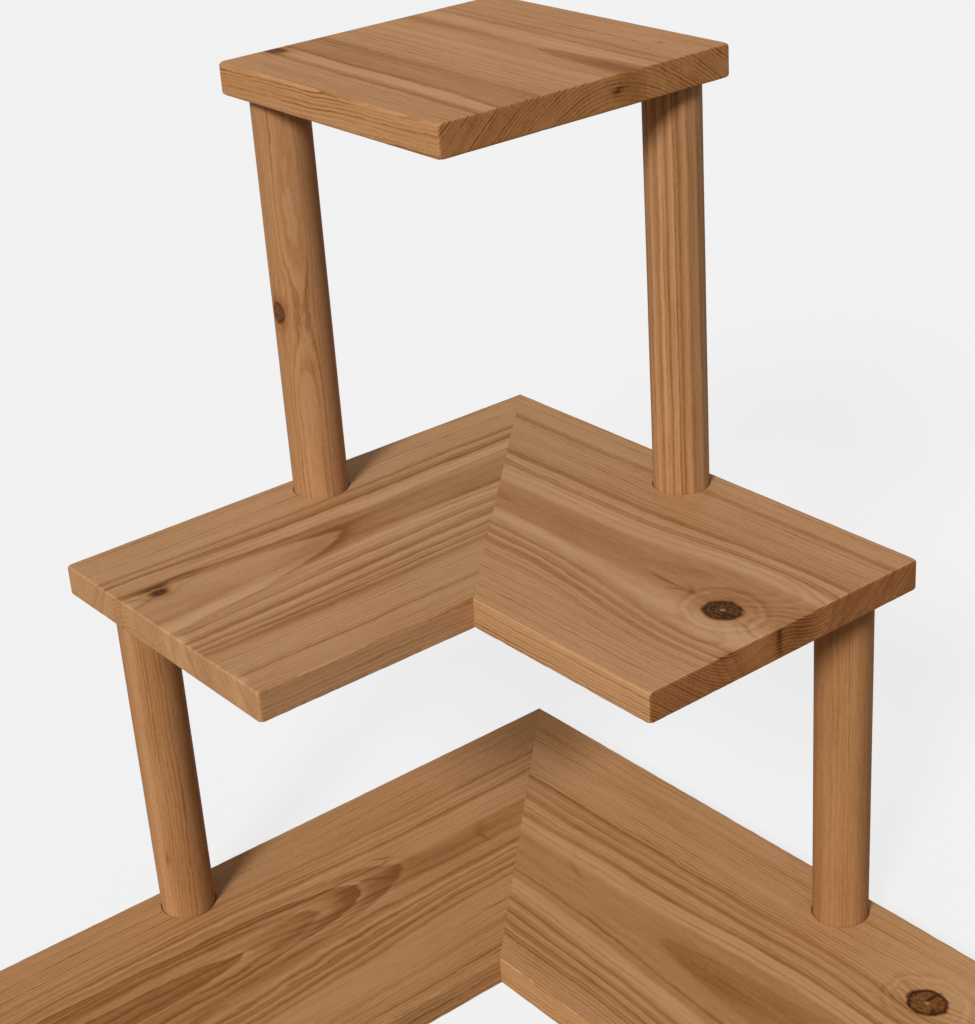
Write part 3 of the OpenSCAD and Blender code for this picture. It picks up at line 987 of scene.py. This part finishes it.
def board_section(sizes):
    """Across and into of a board's cross-section, a rectangle with quarter-circle edges."""
    width, thick = BOARD_WIDTH, BOARD_THICK
    edge, tip = sizes.edge_radius, sizes.tip_radius
    near = np.concatenate([eased_steps(edge, EDGE_STEPS), even_steps(edge, tip, TIP_CELL), [tip]])
    flat = even_steps(tip, width - tip, sizes.cell)
    top_across = np.concatenate([near, flat, width - near[::-1]])
    top_into = thick - inset(np.minimum(top_across, width - top_across), edge)
    side = even_steps(edge, thick - edge, thick / SIDE_STEPS)
    across = np.concatenate([top_across, np.full(len(side), width), top_across[::-1], np.zeros(len(side))])
    into = np.concatenate([top_into, side[::-1], thick - top_into[::-1], side])
    return across, into


def inner_end(plank, sizes, across):
    """Where a board starts, as distances along. A mitre is a plane at 45 degrees with its tip cut off."""
    tip_cut = sizes.corner_radius * (1 - np.sqrt(0.5))
    return np.maximum(across, tip_cut) if plank.mitred else np.zeros_like(across)


def board_rows(plank, sizes, across):
    """Distances along of a board's points, from its inner end to the arm's, in a row for each section.

    The rows lie close together where the ends and the corners' tips are rounded."""
    corner, tip, arm = sizes.corner_radius, sizes.tip_radius, plank.arm()
    lip = eased_steps(sizes.mitre_easing, LIP_STEPS) * np.sqrt(2)
    past_lip = eased_steps(corner, EDGE_STEPS)[2:] + lip[-1]
    end = np.concatenate([eased_steps(corner, CORNER_STEPS), even_steps(corner, tip, TIP_CELL), [tip]])
    start = np.concatenate([lip, past_lip]) if plank.mitred else end
    opening = inner_end(plank, sizes, across) + start[:, None]
    closing = np.broadcast_to(arm - end[::-1, None], (len(end), len(across)))
    share = even_steps(0.0, 1.0, sizes.cell / arm)
    middle = opening[-1] + (closing[0] - opening[-1]) * share[:, None]
    return np.concatenate([opening, middle, closing])


def worn_edges(sizes, along, across, into, seed):
    """Dents in a board's four long edges, deepest at the edge and gone an edge radius away from it."""
    edge = sizes.edge_radius
    for number in range(4):
        front, top = divmod(number, 2)
        from_side = BOARD_WIDTH - across if front else across
        from_face = BOARD_THICK - into if top else into
        nearness = np.clip(1 - from_side / edge, 0, 1) * np.clip(1 - from_face / edge, 0, 1)
        bite = dents(along, seed * SEEDS_EACH + number, sizes.wear) * np.sqrt(nearness) * BITE
        across = across - bite if front else across + bite
        into = into - bite if top else into + bite
    return across, into


def rounded_ends(plank, sizes, along, across, into, seed):
    """Draws in a board's width at its upright corners, and its thickness round its ends and at its tips.

    Each is a quarter circle. The tips are sanded off by one over the distances from the end and from the side
    added up. A mitre has upright corners at its outer tip alone, and its lips are eased a little."""
    width, thick = BOARD_WIDTH, BOARD_THICK
    corner, tip = sizes.corner_radius, sizes.tip_radius
    from_end = plank.arm() - along
    start_in = inset(along, corner)
    if plank.mitred:
        start_in = start_in * (across < width / 2)
    across_in = np.maximum(inset(from_end, corner), start_in)
    across = np.clip(across, across_in, width - across_in)

    from_side = np.minimum(across, width - across)
    ragged = 1 + dents(across * END_WEAR_PITCH, seed * SEEDS_EACH + END_SEED, 1.0) * END_WEAR
    eased = [inset(from_end, sizes.end_radius * ragged), inset(from_end + from_side, tip)]
    if plank.mitred:
        from_mitre = (along - across) / np.sqrt(2)
        eased.append(inset(np.clip(from_mitre, 0, None), sizes.mitre_easing))
    else:
        eased += [inset(along, sizes.end_radius), inset(along + from_side, tip)]
    into_in = np.maximum.reduce(eased)
    return across, np.clip(into, into_in, thick - into_in)


def board_shell(plank, sizes, seed):
    """A board as its cross-section carried along it, worn and rounded, with both ends shut."""
    across, into = board_section(sizes)
    along = board_rows(plank, sizes, across)
    across = np.broadcast_to(across, along.shape)
    into = np.broadcast_to(into, along.shape)
    across, into = worn_edges(sizes, along, across, into, seed)
    across, into = rounded_ends(plank, sizes, along, across, into, seed)
    head = end_cap(across[0], into[0], lambda places: inner_end(plank, sizes, places))
    tail = end_cap(across[-1], into[-1], lambda places: np.full_like(places, plank.arm()))
    body = (along, across, into)
    joined = [np.concatenate([start[::-1], rest, end]) for start, rest, end in zip(head, body, tail)]
    return plank.place(*joined)


def post_centre(node):
    low, high = span(node)
    return (low + high)[:2] / 2


# How far a cutter reaches past the face that it opens
PAST = 1 * MM


def socket_shells(plank, sizes):
    """A board's sockets and screw holes as turned shells, wherever a post's foot or head is in it."""
    low, high = plank.box()
    under, over = low[2] - PAST, high[2] + PAST
    shells = []
    for node in POSTS:
        foot, head = (corner[2] for corner in span(node))
        x, y = post_centre(node)
        if not (low[0] < x < high[0] and low[1] < y < high[1]):
            continue
        if low[2] < foot < high[2]:
            socket = POST_RADIUS + sizes.foot_gap
            hole = sizes.screw_radius + sizes.screw_gap
            mouth = sizes.screw_head_radius + sizes.screw_gap
            sunk = span(SCREWS_OF[node])[0][2]
            profile = ((0, under), (mouth, under), (mouth, sunk), (hole, sunk + sizes.screw_head_height),
                       (hole, foot), (socket, foot), (socket, over), (0, over))
            shells.append(turned(profile, x, y))
        if low[2] < head < high[2]:
            socket = POST_RADIUS + sizes.glue_gap
            shells.append(turned(((0, under), (socket, under), (socket, head), (0, head)), x, y))
    return shells


# Biscuits in each mitre, points on each of a biscuit's arcs, and its bevel
BISCUITS = 3
ARC_POINTS = 48
BISCUIT_BEVEL = 0.3 * MM


def biscuit_shell(centre, length, width, tip, thick):
    """A biscuit or its slot: two arcs that meet blunt ends, lying along the mitre's diagonal.

    Each arc's half width at a distance from the middle is that of a circle through the tips and the crown.
    The outline is drawn in by the bevel at both faces, and to its middle line to shut them."""
    rise = (width - tip) / 2
    radius = (rise**2 + length**2 / 4) / (2 * rise)
    out = np.linspace(-1, 1, ARC_POINTS) * length / 2
    half = np.sqrt(radius**2 - out**2) - (radius - width / 2)
    along = np.concatenate([out, out[::-1]])
    across = np.concatenate([half, -half[::-1]])
    bevel = min(BISCUIT_BEVEL, thick / 6)
    turn = np.sqrt(0.5)
    lower = ((0, bevel, False), (0, bevel, True), (bevel, 0, True))
    upper = ((thick - bevel, 0, True), (thick, bevel, True), (thick, bevel, False))
    rows = []
    for height, draw, is_open in (*lower, *upper):
        shut = 0 if is_open else tip / length
        u = along * (1 - draw / (length / 2) - shut)
        v = across * (1 - draw / (width / 2)) * is_open
        rows.append(np.stack([(u - v) * turn, (u + v) * turn, np.full_like(u, height - thick / 2)], -1))
    return np.array(rows) + np.array(centre)


def biscuit_centres(node):
    """Evenly spaced along the mitre, from the room's corner out, halfway up the given node."""
    low, high = span(node)
    level = (low[2] + high[2]) / 2
    return [(*(ROOM_CORNER[:2] - BOARD_WIDTH * (i + 0.5) / BISCUITS), level) for i in range(BISCUITS)]


# Spacing of a post's rings
POST_CELL = 4 * MM
# How far up a post the waves of its flats take to turn by one radian, in mm
FLAT_RISES = (90, 37, 23)


def post_shell(node, sizes, seed):
    """A post as a turned profile with bevelled ends and the bore for its screw.

    It is flattened a little by a sander: its radius falls by slow waves round and up the post."""
    foot, head = (corner[2] for corner in span(node))
    bevel = sizes.post_bevel
    bore = sizes.screw_radius + sizes.thread_gap
    bore_end = span(SCREWS_OF[node])[1][2] + sizes.bore_spare
    rise = even_steps(foot + bevel, head - bevel, POST_CELL)
    profile = [(0, bore_end), (bore, bore_end), (bore, foot), (POST_RADIUS - bevel, foot),
               *((POST_RADIUS, z) for z in (foot + bevel, *rise, head - bevel)),
               (POST_RADIUS - bevel, head), (0, head)]
    points = turned(profile, 0, 0)
    radius = np.hypot(points[..., 0], points[..., 1])
    angle = np.arctan2(points[..., 1], points[..., 0])
    height = points[..., 2] / MM
    starts = np.random.default_rng(seed).uniform(0, 2 * np.pi, 3)
    leans = [start + height / rise for start, rise in zip(starts, FLAT_RISES)]
    slow = np.sin(2 * angle + leans[0])
    quick = np.sin(5 * angle + leans[1]) * np.sin(leans[2])
    worn = np.where(radius > POST_RADIUS / 2, sizes.post_flat * (2 + slow + quick) / 4, 0)
    points[..., :2] *= (1 - worn / np.maximum(radius, MM))[..., None]
    return points + np.array((*post_centre(node), 0))


# A screw's recess, how far up its thread starts, the spacing of its rings and the height it takes to grow
RECESS_DEPTH = 2.0 * MM
THREAD_START = 9 * MM
THREAD_CELL = 0.15 * MM
THREAD_GROWTH = 2 * MM
# The plain shank is thicker than the thread's core by this factor
SHANK_SHARE = 1.15
# Half the width of the thread's foot, as a share of its pitch, and the powers that shape its crest and point
CREST_SHARE = 0.22
CREST_POWER = 1.5
POINT_POWER = 0.75


def screw_shell(x, y, low, high, sizes):
    """A countersunk wood screw, point up, as rings of points round its axis.

    The recess is square: its radius at an angle is half its width over the greater of the cosine and sine.
    The thread's radius swings between core and crest as height over pitch, less the share of the turn, goes
    round, and both shrink to nothing over the point."""
    angle = np.linspace(0, 2 * np.pi, SCREW_SIDES, endpoint=False)
    square = sizes.screw_recess / np.maximum(np.abs(np.cos(angle)), np.abs(np.sin(angle)))
    core, outer, head = sizes.screw_core, sizes.screw_radius, sizes.screw_head_radius
    # The recess from its bottom to its mouth, then the head's face and its rim
    rings = [
        (0, low + RECESS_DEPTH), (square * 0.82, low + RECESS_DEPTH * 0.98), (square * 0.94, low + 0.2 * MM),
        (square * 1.04, low), (head * 0.97, low), (head, low + 0.05 * MM), (head, low + 0.25 * MM),
    ]
    start = low + THREAD_START
    rings += [(core * SHANK_SHARE, z) for z in np.linspace(low + sizes.screw_head_height, start, 6)]
    for z in np.arange(start + THREAD_CELL, high - 0.1 * MM, THREAD_CELL):
        turn = (z / sizes.screw_pitch - angle / (2 * np.pi)) % 1
        crest = np.clip(1 - np.abs(turn - 0.5) / CREST_SHARE, 0, 1) ** CREST_POWER
        grow = np.clip((z - start) / THREAD_GROWTH, 0, 1)
        taper = np.clip((high - z) / sizes.screw_point, 0, 1) ** POINT_POWER
        rings.append(((core + (outer - core) * crest * grow) * taper, z))
    rings.append((0, high))
    radius = np.array([np.broadcast_to(r, SCREW_SIDES) for r, _ in rings])
    height = np.array([np.full(SCREW_SIDES, z) for _, z in rings])
    return np.stack([x + radius * np.cos(angle), y + radius * np.sin(angle), height], -1)


SCREWS_OF = {
    "upper_left_post": "mid_post_screws",
    "upper_right_post": "mid_post_screws",
    "lower_left_post": "base_post_screws",
    "lower_right_post": "base_post_screws",
}
POSTS = tuple(SCREWS_OF)
# Bearing of each post's across axis from +X, in degrees, which turns its grain to the side that shows
POST_TURNS = dict(zip(POSTS, (272, 320, 310, 330)))
# Where a post's middle lies across its figure, in mm
POST_MIDDLE = FIGURE_WIDTH / 2
# Seed of the first post's flats
POST_SEED = 20


def finished(made, node):
    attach(made, BODY)
    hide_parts(node)


# Operators


class STAND_OT_boards(bpy.types.Operator):
    """Makes the five shelf boards with their sockets, screw holes and biscuit slots"""

    bl_idname = "stand.boards"
    bl_label = "Shelf boards"

    def execute(self, context):
        sizes = context.scene.stand_sizes
        look = context.scene.stand_wood
        spare = 2 * sizes.slot_spare
        slot = (sizes.biscuit_length + spare, sizes.biscuit_width + spare,
                sizes.biscuit_tip + spare, sizes.biscuit_thick + 2 * sizes.slot_gap)
        for seed, plank in enumerate(PLANKS, 1):
            made = mesh_object(plank.node + "_finished", [board_shell(plank, sizes, seed)])
            cutters = socket_shells(plank, sizes)
            if plank.mitred:
                cutters += [biscuit_shell(centre, *slot) for centre in biscuit_centres(plank.node)]
            cut_away(made, mesh_object("cutter", cutters))
            made.data.materials.clear()
            made.data.materials.append(softwood(
                plank.node, FIGURES[plank.node], look, plank.axes(), plank.end_shares(), plank.side_shares()))
            finished(made, plank.node)
        return {"FINISHED"}


class STAND_OT_posts(bpy.types.Operator):
    """Turns the four posts, each bored for its screw"""

    bl_idname = "stand.posts"
    bl_label = "Posts"

    def execute(self, context):
        sizes = context.scene.stand_sizes
        look = context.scene.stand_wood
        for seed, node in enumerate(POSTS, POST_SEED):
            made = mesh_object(node + "_finished", [post_shell(node, sizes, seed)])
            x, y = post_centre(node)
            turn = np.radians(POST_TURNS[node])
            cos, sin = float(np.cos(turn)), float(np.sin(turn))
            axes = (
                (0, 0, 1, -span(node)[0][2]),
                (cos, sin, 0, POST_MIDDLE * MM - cos * x - sin * y),
                (-sin, cos, 0, sin * x - cos * y),
            )
            made.data.materials.append(softwood(node, FIGURES[node], look, axes, (0, 0, 1)))
            finished(made, node)
        return {"FINISHED"}


class STAND_OT_biscuits(bpy.types.Operator):
    """Makes the pressed biscuits inside the two mitres"""

    bl_idname = "stand.biscuits"
    bl_label = "Biscuits"

    def execute(self, context):
        sizes = context.scene.stand_sizes
        biscuit = (sizes.biscuit_length, sizes.biscuit_width, sizes.biscuit_tip, sizes.biscuit_thick)
        beech = pressed_beech()
        for node in ("mid_mitre_biscuits", "base_mitre_biscuits"):
            shells = [biscuit_shell(centre, *biscuit) for centre in biscuit_centres(node)]
            made = mesh_object(node + "_finished", shells)
            made.data.materials.append(beech)
            finished(made, node)
        return {"FINISHED"}


class STAND_OT_screws(bpy.types.Operator):
    """Makes the countersunk screws with their threads"""

    bl_idname = "stand.screws"
    bl_label = "Screws"

    def execute(self, context):
        sizes = context.scene.stand_sizes
        steel = zinc_steel()
        for node in ("mid_post_screws", "base_post_screws"):
            low, high = span(node)
            shells = [
                screw_shell(*post_centre(post), low[2], high[2], sizes)
                for post, screws in SCREWS_OF.items() if screws == node
            ]
            made = mesh_object(node + "_finished", shells)
            made.data.materials.append(steel)
            finished(made, node)
        return {"FINISHED"}


# Place in metres, turn in radians, and lens and sensor in mm
CAMERA_PLACE = (-0.52806, -0.7262, 0.76228)
CAMERA_TURN = (1.1152, 0.06306, -0.67964)
CAMERA_LENS = 73.66
CAMERA_SENSOR = 36
# How far from the middle the lamps hang. Their light doesn't depend on it.
LAMP_FAR = 2


def seen_directly(tree):
    """1 for rays from the camera, a mirror or glass, 0 for those that light other things."""
    path = tree.nodes.new("ShaderNodeLightPath")
    camera, mirror, glass = [Field(tree, path.outputs[f"Is {kind} Ray"])
                             for kind in ("Camera", "Glossy", "Transmission")]
    return camera.most(mirror).most(glass)


def mixed(tree, share, first, second):
    """A blend of two shaders, all second where the share is 1."""
    node = tree.nodes.new("ShaderNodeMixShader")
    feed(tree, share, node.inputs[0])
    tree.links.new(first, node.inputs[1])
    tree.links.new(second, node.inputs[2])
    return node.outputs[0]


def plain_shader(tree, kind, colour):
    """The output of a new shader of one kind, in a colour or in a grey that is given as one number."""
    node = tree.nodes.new(kind)
    node.inputs["Color"].default_value = (colour,) * 3 + (1,) if np.isscalar(colour) else (*colour, 1)
    return node.outputs[0]


def floor_material(stage):
    """Even pale floor that keeps part of its shadow where it is seen, and throws a little light back up."""
    material, tree, shader = new_material("pale_floor")
    tree.nodes.remove(shader)
    glow = plain_shader(tree, "ShaderNodeEmission", stage.background)
    shaded = plain_shader(tree, "ShaderNodeBsdfDiffuse", stage.background)
    plain = plain_shader(tree, "ShaderNodeBsdfDiffuse", stage.bounce)
    look = mixed(tree, stage.shadow_share, glow, shaded)
    surface = mixed(tree, seen_directly(tree), plain, look)
    tree.links.new(surface, tree.nodes["Material Output"].inputs["Surface"])
    return material


def lamp(name, bearing, height, spread, light):
    """A far lamp that fills an angle of the sky, so the floor is lit evenly.

    A white surface that faces it shows the given light."""
    data = bpy.data.lights.new(name, "SUN")
    data.angle = spread
    data.energy = light * np.pi
    made = bpy.data.objects.new(name, data)
    made.location = (LAMP_FAR * np.cos(bearing), LAMP_FAR * np.sin(bearing), LAMP_FAR)
    made.rotation_euler = (np.pi / 2 - height, 0, bearing + np.pi / 2)
    bpy.context.scene.collection.objects.link(made)


def soft_room(stage):
    """A world that lights evenly and shows the backdrop."""
    world = bpy.data.worlds.new("soft_room")
    world.use_nodes = True
    tree = world.node_tree
    ambient = tree.nodes["Background"]
    ambient.inputs["Color"].default_value = (1, 1, 1, 1)
    ambient.inputs["Strength"].default_value = stage.ambient
    backdrop = plain_shader(tree, "ShaderNodeBackground", stage.background)
    surface = mixed(tree, seen_directly(tree), ambient.outputs[0], backdrop)
    tree.links.new(surface, tree.nodes["World Output"].inputs["Surface"])
    return world


class STAND_OT_stage(bpy.types.Operator):
    """Sets the pale floor, the soft lamps and the camera"""

    bl_idname = "stand.stage"
    bl_label = "Stage"

    def execute(self, context):
        stage = context.scene.stand_stage
        half = stage.floor_size / 2
        mesh = bpy.data.meshes.new("floor")
        corners = [(-half, -half, 0), (half, -half, 0), (half, half, 0), (-half, half, 0)]
        mesh.from_pydata(corners, [], [(0, 1, 2, 3)])
        mesh.materials.append(floor_material(stage))
        floor = bpy.data.objects.new("floor", mesh)
        context.scene.collection.objects.link(floor)

        context.scene.world = soft_room(stage)
        lamp("key_lamp", stage.key_azimuth, stage.key_height, stage.key_spread, stage.key)
        lamp("side_lamp", stage.side_azimuth, stage.side_height, stage.side_spread, stage.side)

        data = bpy.data.cameras.new("camera")
        data.lens = CAMERA_LENS
        data.sensor_width = CAMERA_SENSOR
        camera = bpy.data.objects.new("camera", data)
        camera.location = CAMERA_PLACE
        camera.rotation_euler = CAMERA_TURN
        context.scene.collection.objects.link(camera)
        context.scene.camera = camera
        context.scene.view_settings.view_transform = "Standard"
        return {"FINISHED"}


class STAND_PT_panel(bpy.types.Panel):
    """Sizes, colours and steps of the corner stand"""

    bl_idname = "STAND_PT_panel"
    bl_label = "Corner stand"
    bl_space_type = "VIEW_3D"
    bl_region_type = "UI"
    bl_category = "Corner stand"

    def draw(self, context):
        for group in ("stand_sizes", "stand_wood", "stand_stage"):
            values = getattr(context.scene, group)
            box = self.layout.box()
            for name in values.__annotations__:
                box.prop(values, name)
        for operator in OPERATORS:
            self.layout.operator(operator.bl_idname)


OPERATORS = (STAND_OT_boards, STAND_OT_posts, STAND_OT_biscuits, STAND_OT_screws, STAND_OT_stage)
GROUPS = {"stand_sizes": StandSizes, "stand_wood": WoodLook, "stand_stage": StageLook}


def register():
    for group in GROUPS.values():
        bpy.utils.register_class(group)
    for operator in OPERATORS:
        bpy.utils.register_class(operator)
    bpy.utils.register_class(STAND_PT_panel)
    for name, group in GROUPS.items():
        setattr(bpy.types.Scene, name, PointerProperty(type=group))


def unregister():
    for name in GROUPS:
        delattr(bpy.types.Scene, name)
    bpy.utils.unregister_class(STAND_PT_panel)
    for kind in (*reversed(OPERATORS), *GROUPS.values()):
        bpy.utils.unregister_class(kind)


def main():
    register()
    bpy.ops.stand.boards()
    bpy.ops.stand.posts()
    bpy.ops.stand.biscuits()
    bpy.ops.stand.screws()
    bpy.ops.stand.stage()


if __name__ == "__main__":
    main()
